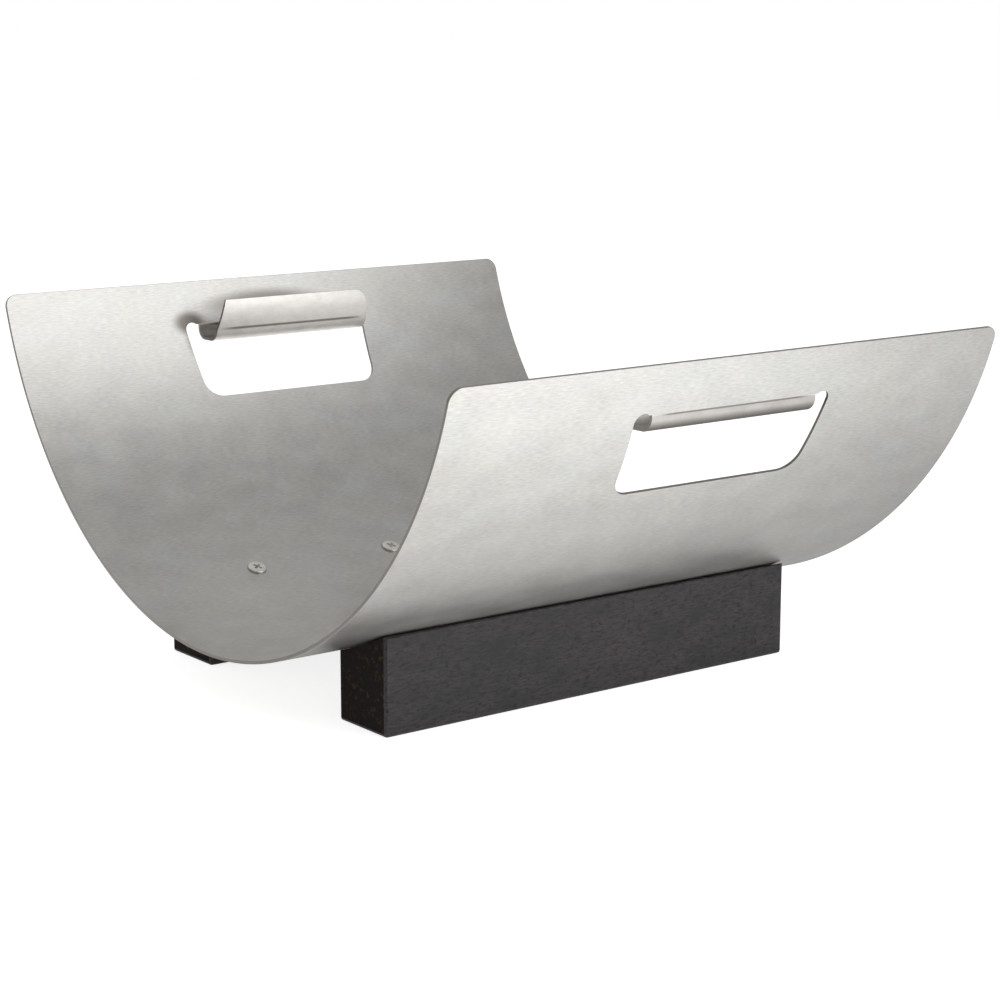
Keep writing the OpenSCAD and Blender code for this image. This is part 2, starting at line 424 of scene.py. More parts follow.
def hand_hole(trough, section):
    """Cut edge of the back hand hole and its tab, as points with the metal on their left."""
    half_w, slit_r = trough.grip_width / 2, trough.slit / 2
    root_s, low_s = section["root_s"], section["root_s"] - section["tab_l"]
    head = (half_w + slit_r, root_s + trough.slit_over - slit_r)
    foot_x = half_w + trough.slit - trough.hole_taper
    side_a = math.atan2(trough.hole_taper, head[1] - low_s)
    back = trough.hole_corner * math.tan((math.pi / 2 - side_a) / 2)
    corner = (foot_x - back, low_s + trough.hole_corner)
    ledge_a = math.degrees(math.asin((root_s - head[1]) / slit_r))
    right = [(half_w, root_s)] + arc(head, slit_r, 180 - ledge_a, 0, steps=14)
    right += arc(corner, trough.hole_corner, -math.degrees(side_a), -90, steps=12)
    hole = right + [(-x, s) for x, s in reversed(right)]
    free, tab_l = trough.grip_corner, section["tab_l"]
    rows, (wall, wall_l, _) = tab_rows(section)[1:], section["runs"][-1]
    left = [(trough.grip_slant * max(0, u - wall) / wall_l - half_w, root_s - u) for u in rows]
    left.append((trough.grip_slant - half_w, low_s))
    low = arc((half_w - free, low_s + free), free, -90, 0, steps=12)
    right_side = [(half_w, root_s - u) for u in reversed(rows) if u < tab_l - free]
    return hole, left + low + right_side


def tab_rows(section):
    """Distances from the bend line at which the tab needs a row of points for its bends."""
    finest = math.radians(5)
    rows = []
    for start, run, turn in section["runs"]:
        steps = max(3, math.ceil(abs(turn) / finest))
        rows += [start + run * k / steps for k in range(steps)]
    return rows


def blank_of(trough, section, screws, feet):
    """The blank of the sheet: its outline, hand holes, tabs and screw holes."""
    blank = Blank()
    # Widest gaps between sites along and across the sheet, and the least ones to an outline
    gap_x, gap_s, clear, tab_clear = 10 * MM, 4.4 * MM, 1.6 * MM, 0.15 * MM
    inset = trough.edge
    end_x, edge_s, r = trough.length / 2, section["edge_s"], trough.corner
    outline = []
    for sx, ss, start in ((1, -1, -90), (1, 1, 0), (-1, 1, 90), (-1, -1, 180)):
        corner = (sx * (end_x - r), ss * (edge_s - r))
        outline += arc(corner, r, start, start + 90, steps=10)
    loops = [blank.rim(densed(outline + outline[:1], gap_x, gap_s)[:-1], inset)]

    hole, tab = hand_hole(trough, section)
    hole, tab = densed(hole, gap_x, gap_s), densed(tab, gap_x, gap_s)
    tab_start, edge = len(hole), hole + tab
    for way in (1, -1):
        points = [(x, way * s) for x, s in edge]
        flags = [0] * tab_start + [1] * (len(edge) - tab_start)
        if way < 0:
            points, flags = points[::-1], flags[::-1]
        ids = blank.rim(points, inset, flags)
        if way < 0:
            ids = ids[::-1]
        right, left = ids[0], ids[tab_start - 1]
        x0, seam_s = blank.sites[right]
        cuts = max(2, round(2 * x0 / gap_x))
        xs = [x0 - 2 * x0 * k / cuts for k in range(1, cuts)]
        seam = [blank.site((x, seam_s)) for x in xs]
        loops.append(ids[:tab_start] + seam[::-1])
        rows = [way * (section["root_s"] - u) for u in tab_rows(section)]
        grid = np.stack(np.meshgrid(xs, rows), axis=-1).reshape(-1, 2)
        blank.fill([[right] + seam + [left] + ids[tab_start:]], grid, tab_clear, tab=1)

    foot_s = section["mid_r"] * math.asin(feet.place / (section["mid_r"] + trough.thickness / 2))
    play = 0.3 * MM
    bore_r = screws.shank / 2 + play
    for way in (-1, 1):
        for k in (-1, 0, 1):
            bore = arc((k * screws.pitch, way * foot_s), bore_r, 360, 0, steps=24)[:-1]
            loops.append(blank.rim(bore, inset / 2))
    xs = np.linspace(-end_x, end_x, round(trough.length / gap_x) + 1)
    rows = np.linspace(-edge_s, edge_s, round(2 * edge_s / gap_s) + 1)
    grid = np.stack(np.meshgrid(xs, rows), axis=-1).reshape(-1, 2)
    blank.fill(loops, grid, clear)
    return blank


def new_tree(name, inputs, outputs):
    """A geometry node group with its named sockets, and its input sockets by name."""
    tree = bpy.data.node_groups.new(name, "GeometryNodeTree")
    for way, names in (("INPUT", inputs), ("OUTPUT", outputs)):
        for label, kind in names:
            tree.interface.new_socket(label, in_out=way, socket_type="NodeSocket" + kind)
    start = add(tree, "NodeGroupInput")
    return tree, {s.name: s for s in start.outputs if s.name}


def bend_tree():
    """Bends what lies past a point of a flat strip. Its length over its turn is the radius."""
    floats = [(n, "Float") for n in ("Along", "Side", "Flat", "Turned", "Start", "Length", "Turn")]
    tree, s = new_tree("bend_the_strip", floats, floats[:2] + floats[3:4])
    chain(tree, s, [
        ("into", "SUBTRACT", "Flat", "Start"),
        ("ratio", "DIVIDE", "into", "Length"),
        ("low", "MAXIMUM", "ratio", 0.0),
        ("share", "MINIMUM", "low", 1.0),
        ("turn", "MULTIPLY", "share", "Turn"),
        ("past_bend", "GREATER_THAN", "into", "Length"),
        ("end", "ADD", "Start", "Length"),
        ("over", "SUBTRACT", "Along", "end"),
        ("past", "MULTIPLY", "past_bend", "over"),
        ("before", "MINIMUM", "Flat", "Start"),
        ("radius", "DIVIDE", "Length", "Turn"),
        ("arm", "SUBTRACT", "radius", "Side"),
        ("sine", "SINE", "turn"),
        ("cosine", "COSINE", "turn"),
        ("a1", "MULTIPLY", "arm", "sine"),
        ("a2", "MULTIPLY", "past", "cosine"),
        ("a3", "ADD", "a1", "a2"),
        ("along", "ADD", "before", "a3"),
        ("b1", "MULTIPLY", "arm", "cosine"),
        ("b2", "SUBTRACT", "radius", "b1"),
        ("b3", "MULTIPLY", "past", "sine"),
        ("side", "ADD", "b2", "b3"),
        ("turned", "ADD", "Turned", "turn"),
    ])
    add(tree, "NodeGroupOutput", {"Along": s["along"], "Side": s["side"], "Turned": s["turned"]})
    return tree


def roll_tree(section, material):
    """Rolls the blank into the trough and curls its two tabs into grips."""
    names = ("Root", "Outer", "Inner", "Wall")
    values = {"Middle Radius": section["mid_r"], "Root Distance": section["root_s"],
              "Axis Height": section["axis_z"]}
    for name, bend in zip(names, [run for run in section["runs"] if run[2]]):
        values.update({f"{name} {part}": value for part, value in zip(BEND_PARTS, bend)})
    inputs = [("Geometry", "Geometry")] + [(name, "Float") for name in values]
    tree, s = new_tree("roll_the_sheet", inputs, inputs[:1])
    place = add(tree, "GeometryNodeInputPosition")
    s["x"], s["s"], s["w"] = add(tree, "SeparateXYZ", {0: place}).outputs
    s["tab"] = add(tree, "GeometryNodeInputNamedAttribute", {"Name": "tab"}, data_type="FLOAT")
    chain(tree, s, [
        ("size", "ABSOLUTE", "s"),
        ("way", "SIGN", "s"),
        ("drop", "SUBTRACT", "Root Distance", "size"),
        ("below", "MAXIMUM", "drop", 0.0),
        ("fold", "MULTIPLY", "below", "tab"),
        ("arc", "ADD", "size", "fold"),
        ("angle", "DIVIDE", "arc", "Middle Radius"),
        ("side", "MULTIPLY", "w", -1.0),
    ])
    along, side, turned = s["fold"], s["side"], 0.0
    bend = bend_tree()
    for name in reversed(names):
        node = add(tree, "GeometryNodeGroup", label=name, node_tree=bend, links={
            "Along": along, "Side": side, "Flat": s["fold"], "Turned": turned,
            **{part: s[f"{name} {part}"] for part in BEND_PARTS},
        })
        along, side, turned = node.outputs
    s["along"], s["out"], s["turned"] = along, side, turned
    chain(tree, s, [
        ("reach", "ADD", "Middle Radius", "out"),
        ("sine", "SINE", "angle"),
        ("cosine", "COSINE", "angle"),
        ("y1", "MULTIPLY", "reach", "sine"),
        ("y2", "MULTIPLY", "along", "cosine"),
        ("y3", "SUBTRACT", "y1", "y2"),
        ("y", "MULTIPLY", "y3", "way"),
        ("z1", "MULTIPLY", "reach", "cosine"),
        ("z2", "SUBTRACT", "Axis Height", "z1"),
        ("z3", "MULTIPLY", "along", "sine"),
        ("z", "SUBTRACT", "z2", "z3"),
        ("slope", "ADD", "angle", "turned"),
        ("place", "CombineXYZ", "x", "y", "z"),
    ])
    slope = add(tree, "GeometryNodeStoreNamedAttribute", {
        "Geometry": s["Geometry"], "Name": "slope", "Value": s["slope"],
    }, data_type="FLOAT", domain="POINT")
    moved = add(tree, "GeometryNodeSetPosition", {"Geometry": slope, "Position": s["place"]})
    finish_tree(tree, moved, material)
    return tree, values


def finish_tree(tree, geometry, material):
    """Ends a tree: instances made real, and the material set."""
    real = add(tree, "GeometryNodeRealizeInstances", {"Geometry": geometry})
    dressed = add(tree, "GeometryNodeSetMaterial", {"Geometry": real, "Material": material})
    add(tree, "NodeGroupOutput", {"Geometry": dressed})


def linked(name, data):
    """A new object for a mesh, a lamp or a camera, in the scene."""
    piece = bpy.data.objects.new(name, data)
    bpy.context.scene.collection.objects.link(piece)
    return piece


def mesh_of(name, work):
    """A new mesh from a bmesh, which is freed."""
    mesh = bpy.data.meshes.new(name)
    work.to_mesh(mesh)
    work.free()
    return mesh


def settled(piece):
    """Turns a piece with its live modifiers into a plain mesh."""
    bpy.context.view_layer.update()
    graph = bpy.context.evaluated_depsgraph_get()
    mesh = bpy.data.meshes.new_from_object(
        piece.evaluated_get(graph), preserve_all_data_layers=True, depsgraph=graph)
    piece.modifiers.clear()
    piece.data = mesh
    mesh.name = piece.name
    return piece


def through(piece, tree, values):
    """Runs a geometry node tree on a piece, with its named inputs, and keeps the result."""
    modifier = piece.modifiers.new(tree.name, "NODES")
    modifier.node_group = tree
    for item in tree.interface.items_tree:
        if item.in_out == "INPUT" and item.name in values:
            modifier[item.identifier] = values[item.name]
    return settled(piece)


def read(mesh, name, field, width):
    """A point attribute of a mesh as an array."""
    out = np.zeros(len(mesh.vertices) * width, np.float32)
    mesh.attributes[name].data.foreach_get(field, out)
    return out.reshape(-1, width) if width > 1 else out


def keep_piece(piece, slot, *nodes):
    """Hands a finished piece to the frame: attaches it to its body and hides the nodes it stands
    for. The slot is not used.
    """
    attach(piece, BODY)
    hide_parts(*nodes)


def brushed_stainless(trough, section):
    """Brushed stainless sheet, ground with a fine belt along the logs.

    The lines give a satin sheen that is stretched across them. The two tabs are a little
    warm and mottled from the forming. Painted shade darkens their gutters and the outer
    band under the bend, and thin lines of painted shade lie in the creases at either end
    of the bends. Painted shade and painted reflection darken the inner side over each
    grip and round its left slit head. The cut edges are bare and dull.
    """
    root_s, starts = section["root_s"], [run[0] for run in section["runs"]]
    half_w, slit_x = trough.grip_width / 2, (trough.grip_width + trough.slit) / 2

    def build(tree):
        flat = add(tree, "Attribute", attribute_name="flat").outputs["Vector"]
        facing = add(tree, "Attribute", attribute_name="flat_normal").outputs["Vector"]
        s = {"tab": add(tree, "Attribute", attribute_name="tab").outputs["Fac"]}
        s["x"], s["s"], s["w"] = add(tree, "SeparateXYZ", {0: flat}).outputs
        s["upright"] = add(tree, "SeparateXYZ", {0: facing}).outputs[2]
        # Belt lines 0.8 mm wide and 5 mm long. Real ones are 0.1 mm, too fine to show.
        s["lines"] = pattern(tree, flat, (200, 1250, 1), 3, 0.5)
        # Clouds about 25 mm across
        s["clouds"] = pattern(tree, flat, (34, 48, 1), 4, 0.55)
        # Faint warm patches, 40 mm across
        s["patches"] = pattern(tree, flat, (22, 30, 1), 2, 0.5, (3, 5, 0))
        # Mottling of the tabs, patches about 12 mm long and 7 mm across
        s["mottling"] = pattern(tree, flat, (85, 150, 1), 5, 0.6)
        s["ground"] = add(tree, "Mix", {0: 0.37, 2: s["lines"], 3: s["clouds"]})
        chain(tree, s, [
            ("tone", "MapRange", "ground", 0.3, 0.7),
            ("haze", "MapRange", "patches", 0.35, 0.7),
            ("spots", "MapRange", "mottling", 0.35, 0.7, 0.45),
            ("rough", "MapRange", "clouds", 0.3, 0.7, 0.34, 0.37),
            ("out", "ABSOLUTE", "x"),
            ("up", "ABSOLUTE", "s"),
            ("inner", "GREATER_THAN", "w", 0),
            ("off_tab", "SUBTRACT", "inner", "tab"),
            ("near_tab", "MAXIMUM", "off_tab", 0),
        ])

        # Painted shade: darker towards the bottom of the outer band under the bend, and in the
        # gutter, where shade falls
        for name, low, high, last, end, most in (
            ("outer_film", -3 * MM, 10 * MM, starts[3], starts[4], 0.9),
            ("gutter_film", starts[1], starts[2] + 3 * MM, starts[4], starts[5], 0.6),
        ):
            chain(tree, s, [
                ("came", "MapRange SMOOTHSTEP", "up", root_s - low, root_s - high, 0, most),
                ("gone", "MapRange SMOOTHSTEP", "up", root_s - end, root_s - last),
                (name, "MULTIPLY", "came", "gone"),
            ])
        s["film"] = add(tree, "Mix", {0: s["inner"], 2: s["outer_film"], 3: s["gutter_film"]})

        # Painted shade and painted reflection on the inner side: over each grip, where its wall is
        # reflected, and round its left slit head, where the bent sheet dishes
        for name, x0, half_x, s0, half_s, most in (
            ("over_grip", -8 * MM, 58 * MM, 12 * MM, 12 * MM, 0.8),
            ("by_slit", -slit_x - 2 * MM, 16 * MM, 1 * MM, 11 * MM, 1),
        ):
            chain(tree, s, [
                ("across", "MULTIPLY_ADD", "x", 1 / half_x, -x0 / half_x),
                ("along", "MULTIPLY_ADD", "up", 1 / half_s, -(root_s + s0) / half_s),
                ("place", "CombineXYZ", "across", "along"),
                ("far", "VectorMath LENGTH", "place"),
                (name, "MapRange SMOOTHSTEP", "far", 1, 0.35, 0, most),
            ])

        # Painted shade lines 1.5 mm wide in the creases, at the bend line and where the inner bend
        # ends.
        # They fade over 16 mm towards the ends of the tab.
        for name, depth in (("bend_line", 0.6 * MM), ("wall_line", starts[5] + 1 * MM)):
            chain(tree, s, [
                ("off", "SUBTRACT", "up", root_s - depth),
                ("size", "ABSOLUTE", "off"),
                (name, "MapRange SMOOTHSTEP", "size", 0.3 * MM, 1.2 * MM, 0.8, 0),
            ])

        chain(tree, s, [
            ("fade", "MapRange SMOOTHSTEP", "out", half_w, half_w - 16 * MM, 0, "tab"),
            ("worked", "MULTIPLY", "tab", "spots"),
            ("on_tab", "MULTIPLY", "film", "tab"),
            ("dulled", "MAXIMUM", "over_grip", "by_slit"),
            ("by_hand", "MULTIPLY", "dulled", "near_tab"),
            ("marks", "MAXIMUM", "bend_line", "wall_line"),
            ("lined", "MULTIPLY", "marks", "fade"),
            # Cut edges: where the flat sheet's own normal lies in its plane
            ("level", "ABSOLUTE", "upright"),
            ("edge", "MapRange", "level", 0.9, 0.5),
        ])
        steel = (*trough.dark, 1)
        for share, tint, blend in (
            ("tone", trough.light, "MIX"),
            ("haze", trough.haze, "MULTIPLY"),
            ("worked", trough.warm, "MIX"),
            ("on_tab", trough.film, "MIX"),
            ("by_hand", trough.grip_shade, "MIX"),
            ("lined", trough.crease_shade, "MIX"),
            ("edge", trough.cut, "MIX"),
        ):
            steel = add(tree, "Mix", {0: s[share], 6: steel, 7: (*tint, 1)},
                        data_type="RGBA", blend_type=blend)
        bump = add(tree, "Bump", {"Strength": 0.35, "Distance": 0.03 * MM, "Height": s["lines"]})
        tangent = add(tree, "Tangent", direction_type="UV_MAP", uv_map="flat_uv")
        return add(tree, "BsdfPrincipled", {
            "Base Color": steel, "Metallic": 1, "Roughness": s["rough"],
            "Anisotropic": 0.7, "Normal": bump, "Tangent": tangent})
    return new_material("brushed_stainless_sheet", build)


def stained_wood(feet, part):
    """Hardwood stained dark, planed along the grain; open pores and thin patches of stain.

    Ends are sawn across: darker, with short pale rays towards the outer side; their dark
    colour holds painted shade as well as the stain. On the arris the stain is rubbed thin,
    and its lighter colour is partly a painted highlight.
    """
    ends = part == "end_grain"
    base, thin = {
        "face": (feet.stain, feet.warm), "end_grain": (feet.end, feet.fleck),
        "arris": (feet.rubbed_and_highlight, feet.warm),
    }[part]
    if ends:
        pore_scale, patch_scale, thin_from = (1200, 1200, 1200), (270, 270, 270), 0.53
        smoothest, roughest, sheen = 0.7, 0.85, 0.2
    else:
        pore_scale, patch_scale, thin_from = (170, 720, 720), (33, 78, 78), 0.4
        smoothest, roughest, sheen = 0.42, 0.62, 0.5

    def build(tree):
        place = add(tree, "TexCoord").outputs["Object"]
        s = {"y": add(tree, "SeparateXYZ", {0: place}).outputs[1]} if ends else {}
        # Pores 1.4 mm wide and 6 mm long on the faces, dots of 0.8 mm in the ends. Real ones
        # are 0.3 mm, too fine to show.
        s["pores"] = pattern(tree, place, pore_scale, 3, 0.65)
        # Patches of thin stain, 30 mm along the grain and 13 mm across it
        s["patches"] = pattern(tree, place, patch_scale, 4, 0.6)
        # Pits 3 mm across, where the grain is torn
        s["pits"] = pattern(tree, place, (220, 300, 300), 4, 0.6)
        chain(tree, s, [
            ("thin", "MapRange", "patches", thin_from, 0.72),
            ("open", "MapRange", "pores", 0.56, 0.34, 0, 0.85),
            ("torn", "MapRange", "pits", 0.42, 0.33, 0, 0.95),
            ("thick", "MapRange", "patches", 0.44, 0.28, 0, 0.6),
            ("spotted", "MAXIMUM", "thick", "torn"),
            ("marked", "MAXIMUM", "open", "spotted"),
            ("rough", "MapRange", "patches", 0, 1, smoothest, roughest),
        ])
        if ends:
            low_y, high_y = feet.place - feet.width / 2, feet.place + feet.width / 2
            chain(tree, s, [
                ("side", "ABSOLUTE", "y"),
                ("outward", "MapRange", "side", low_y, high_y, 0.15, 0.8),
                ("thin", "MULTIPLY", "thin", "outward"),
            ])
        wood = (*base, 1)
        for share, tint in (("thin", thin), ("marked", feet.pore)):
            wood = add(tree, "Mix", {0: s[share], 6: wood, 7: (*tint, 1)}, data_type="RGBA")
        bump = add(tree, "Bump", {"Strength": 0.5, "Distance": 0.15 * MM, "Height": s["pores"]})
        return add(tree, "BsdfPrincipled", {
            "Base Color": wood, "Roughness": s["rough"], "Normal": bump,
            "Specular IOR Level": sheen})
    return new_material("stained_wood_" + part, build)


def turned_steel(screws):
    """Cold-headed stainless screw: smooth satin steel with a faint grain of the tumbling."""
    def build(tree):
        place = add(tree, "TexCoord").outputs["Object"]
        # Dents about 0.7 mm across
        s = {"dents": add(tree, "TexNoise", {"Vector": place, "Scale": 1400, "Detail": 2})}
        chain(tree, s, [("rough", "MapRange", "dents", 0, 1, 0.2, 0.36)])
        return add(tree, "BsdfPrincipled", {
            "Base Color": (*screws.metal, 1), "Metallic": 1, "Roughness": s["rough"]})
    return new_material("tumbled_stainless_screw", build)


class LOG_HOLDER_OT_trough(bpy.types.Operator):
    """Makes the sheet: cuts its blank, rolls it and curls the two grips"""

    bl_idname = "log_holder.trough"
    bl_label = "Trough"

    def execute(self, context):
        trough = context.scene.log_trough
        section = section_of(trough)
        blank = blank_of(trough, section, context.scene.log_screws, context.scene.log_feet)
        piece = linked("trough_shell", blank.mesh("trough_shell", trough.thickness, trough.edge))
        tree, values = roll_tree(section, brushed_stainless(trough, section))
        through(piece, tree, values)
        mesh = piece.data
        flat, normal = read(mesh, "flat", "vector", 3), read(mesh, "flat_normal", "vector", 3)
        slope, way = read(mesh, "slope", "value", 1), np.sign(flat[:, 1])
        along, up = normal[:, 1] * way, normal[:, 2]
        turned = np.stack([
            normal[:, 0],
            way * (along * np.cos(slope) - up * np.sin(slope)),
            along * np.sin(slope) + up * np.cos(slope),
        ], axis=1)
        # The middle row has no side of its own
        turned[way == 0] = normal[way == 0]
        mesh.polygons.foreach_set("use_smooth", [True] * len(mesh.polygons))
        mesh.normals_split_custom_set_from_vertices(turned.tolist())
        corners = np.zeros(len(mesh.loops), np.int32)
        mesh.loops.foreach_get("vertex_index", corners)
        uv = np.stack([flat[corners, 1], flat[corners, 0]], axis=1)
        mesh.uv_layers.new(name="flat_uv").data.foreach_set("uv", uv.astype(np.float32).ravel())
        mesh.update()
        keep_piece(piece, "sheet_steel", "trough_sheet")
        return {"FINISHED"}


class LOG_HOLDER_OT_feet(bpy.types.Operator):
    """Makes the two wooden feet, with eased edges and tops shaped to the sheet"""

    bl_idname = "log_holder.feet"
    bl_label = "Feet"

    def execute(self, context):
        feet, trough = context.scene.log_feet, context.scene.log_trough
        section = section_of(trough)
        out_r = section["mid_r"] + trough.thickness / 2
        seat_r = out_r + feet.gap
        low_y, high_y = feet.place - feet.width / 2, feet.place + feet.width / 2
        slope = math.asin(feet.place / out_r)
        # The inner half of the top follows the sheet, the outer half is its tangent
        seat = arc((0, section["axis_z"]), seat_r, math.degrees(slope) - 90,
                   math.degrees(math.asin(low_y / seat_r)) - 90, steps=8)
        high_z = seat[0][1] + (high_y - seat[0][0]) * math.tan(slope)
        outline = [(low_y, 0), (high_y, 0), (high_y, high_z)] + seat
        count, outer_top = len(outline), 2
        materials = [stained_wood(feet, part) for part in ("face", "end_grain", "arris")]
        for way, name in ((-1, "front_foot"), (1, "back_foot")):
            work = bmesh.new()
            eased = work.edges.layers.float.new("bevel_weight_edge")
            rings = [
                [work.verts.new((x, way * y, z)) for y, z in outline]
                for x in (-feet.length / 2, feet.length / 2)
            ]
            for k in range(count):
                n = (k + 1) % count
                work.faces.new((rings[0][k], rings[0][n], rings[1][n], rings[1][k]))
            for ring in rings:
                work.faces.new(ring).material_index = 1
            bmesh.ops.recalc_face_normals(work, faces=work.faces)
            # The rim of the seat stays sharp, apart from its outer edge
            for k in range(count):
                along = work.edges.get((rings[0][k], rings[1][k]))
                along[eased] = k <= outer_top
                along.smooth = k != count - 1
                for ring in rings:
                    edge = work.edges.get((ring[k], ring[(k + 1) % count]))
                    edge.smooth = not outer_top <= k < count - 1
                    edge[eased] = edge.smooth
            mesh = mesh_of(name + "_block", work)
            for material in materials:
                mesh.materials.append(material)
            mesh.polygons.foreach_set("use_smooth", [True] * len(mesh.polygons))
            piece = linked(name + "_block", mesh)
            bevel = piece.modifiers.new("eased_edges", "BEVEL")
            bevel.width, bevel.segments = feet.edge, 4
            bevel.limit_method = "WEIGHT"
            bevel.harden_normals = True
            bevel.material = 2
            settled(piece)
            keep_piece(piece, "foot_wood", name)
        return {"FINISHED"}


def screw_mesh(screws, head_z):
    """One wood screw with a low head and a cone point, its head on +Z."""
    r, shank_r, sides = screws.head / 2, screws.shank / 2, 48
    # Radius in metres, and height over the head's underside as a share of the head's height
    head = [(shank_r, 0), (r * 0.97, 0), (r * 0.99, 0.05), (r, 0.12), (r, 0.4)]
    head += [(r * (0.88 + 0.12 * math.cos(a)), 0.4 + 0.5 * math.sin(a))
             for a in np.radians([15, 30, 45, 60, 75])]
    head += [(r * share, 0.9 + 0.1 * math.cos(share / 0.88 * math.pi / 2))
             for share in (0.82, 0.6, 0.4, 0.2)]
    head.append((0, 1))
    tip_z = head_z - screws.reach
    profile = [(0, tip_z), (shank_r, tip_z + 1.2 * screws.shank)]
    profile += [(radius, head_z + share * screws.rise) for radius, share in head]
    work = bmesh.new()
    rings = []
    for radius, z in profile:
        turns = [2 * math.pi * k / sides for k in range(sides if radius else 1)]
        rings.append([work.verts.new((radius * math.cos(a), radius * math.sin(a), z))
                      for a in turns])
    for low, high in zip(rings, rings[1:]):
        for k in range(sides):
            n = (k + 1) % sides
            corners = [low[k % len(low)], low[n % len(low)],
                       high[n % len(high)], high[k % len(high)]]
            work.faces.new(list(dict.fromkeys(corners)))
    return mesh_of("screw", work)


def recess_mesh(screws, top_z):
    """The punch of the cross recess, tapered to its bottom in the shank."""
    depth, over = 0.22 * screws.head, 0.5 * MM
    long, wide = 0.25 * screws.head, 0.07 * screws.head
    work = bmesh.new()
    rings = []
    # Height, and the reach and half width of the four arms there
    for z, reach, half in (
        (top_z + over, 1.12 * long, 1.1 * wide),
        (top_z - depth, 0.35 * long, 0.5 * wide),
    ):
        points = []
        for c, s in ((1, 0), (0, 1), (-1, 0), (0, -1)):
            points.append((reach * c + half * s, reach * s - half * c))
            points.append((reach * c - half * s, reach * s + half * c))
            points.append((half * c - half * s, half * s + half * c))
        rings.append([work.verts.new((x, y, z)) for x, y in points])
    top, bottom = rings
    for k in range(len(top)):
        n = (k + 1) % len(top)
        work.faces.new((bottom[k], bottom[n], top[n], top[k]))
    work.faces.new(top)
    work.faces.new(bottom[::-1])
    bmesh.ops.recalc_face_normals(work, faces=work.faces)
    return mesh_of("recess", work)


def screw_tree(material):
    """Sets a row of three screws through the sheet into each foot."""
    names = ("Pitch", "Foot Angle", "Middle Radius", "Axis Height", "Least Turn", "Most Turn")
    inputs = [("Geometry", "Geometry")] + [(name, "Float") for name in names]
    tree, s = new_tree("set_the_screws", inputs, inputs[:1])
    chain(tree, s, [
        ("first", "MULTIPLY", "Pitch", -1.0),
        ("sine", "SINE", "Foot Angle"),
        ("cosine", "COSINE", "Foot Angle"),
        ("y", "MULTIPLY", "Middle Radius", "sine"),
        ("drop", "MULTIPLY", "Middle Radius", "cosine"),
        ("z", "SUBTRACT", "Axis Height", "drop"),
        ("front_y", "MULTIPLY", "y", -1.0),
        ("front_angle", "MULTIPLY", "Foot Angle", -1.0),
        ("start", "CombineXYZ", "first"),
        ("step", "CombineXYZ", "Pitch"),
        ("least", "CombineXYZ", 0, 0, "Least Turn"),
        ("most", "CombineXYZ", 0, 0, "Most Turn"),
        ("back", "CombineXYZ", 0, "y", "z"),
        ("front", "CombineXYZ", 0, "front_y", "z"),
        ("back_slope", "CombineXYZ", "Foot Angle"),
        ("front_slope", "CombineXYZ", "front_angle"),
    ])
    row = add(tree, "GeometryNodeMeshLine", {
        "Count": 3, "Start Location": s["start"], "Offset": s["step"]})
    rows = []
    for seed, place, slope in ((3, "back", "back_slope"), (8, "front", "front_slope")):
        turn = add(tree, "FunctionNodeRandomValue", {0: s["least"], 1: s["most"], "Seed": seed},
                   data_type="FLOAT_VECTOR")
        set_out = add(tree, "GeometryNodeInstanceOnPoints", {
            "Points": row, "Instance": s["Geometry"], "Rotation": turn})
        rows.append(add(tree, "GeometryNodeTransform", {
            "Geometry": set_out, "Translation": s[place], "Rotation": s[slope]}))
    joined = add(tree, "GeometryNodeJoinGeometry")
    for placed in rows:
        tree.links.new(placed.outputs[0], joined.inputs[0])
    finish_tree(tree, joined, material)
    return tree


class LOG_HOLDER_OT_screws(bpy.types.Operator):
    """Makes one low-headed screw and sets three of them into each foot"""

    bl_idname = "log_holder.screws"
    bl_label = "Screws"

    def execute(self, context):
        screws, trough = context.scene.log_screws, context.scene.log_trough
        section = section_of(trough)
        mid_r, half_t = section["mid_r"], trough.thickness / 2
        head_z = mid_r - math.sqrt((mid_r - half_t) ** 2 - (screws.head / 2) ** 2)
        piece = linked("low_head_screws", screw_mesh(screws, head_z))
        punch = linked("recess", recess_mesh(screws, head_z + screws.rise))
        cut = piece.modifiers.new("cross_recess", "BOOLEAN")
        cut.operation, cut.object, cut.solver = "DIFFERENCE", punch, "EXACT"
        settled(piece)
        bpy.data.objects.remove(punch)
        piece.data.materials.clear()
        through(piece, screw_tree(turned_steel(screws)), {
            "Pitch": screws.pitch,
            "Foot Angle": math.asin(context.scene.log_feet.place / (mid_r + half_t)),
            "Middle Radius": mid_r, "Axis Height": section["axis_z"],
            "Least Turn": math.radians(28), "Most Turn": math.radians(52),
        })
        shade_by_angle(piece.data, math.radians(35))
        keep_piece(piece, "screw_steel", *[
            f"{side}_screw_{place}" for side in ("front", "back")
            for place in ("left", "middle", "right")])
        return {"FINISHED"}


def shade_by_angle(mesh, limit):
    """Smooth shading, with an edge kept sharp where its faces meet at more than the limit."""
    mesh.polygons.foreach_set("use_smooth", [True] * len(mesh.polygons))
    work = bmesh.new()
    work.from_mesh(mesh)
    for edge in work.edges:
        edge.smooth = len(edge.link_faces) == 2 and edge.calc_face_angle() < limit
    work.to_mesh(mesh)
    work.free()


def way_to(turn, height):
    """The way from the origin to a place round the object, by its turn and height in degrees."""
    turn, height = math.radians(turn), math.radians(height)
    return Vector((math.sin(turn) * math.cos(height), -math.cos(turn) * math.cos(height),
                   math.sin(height)))


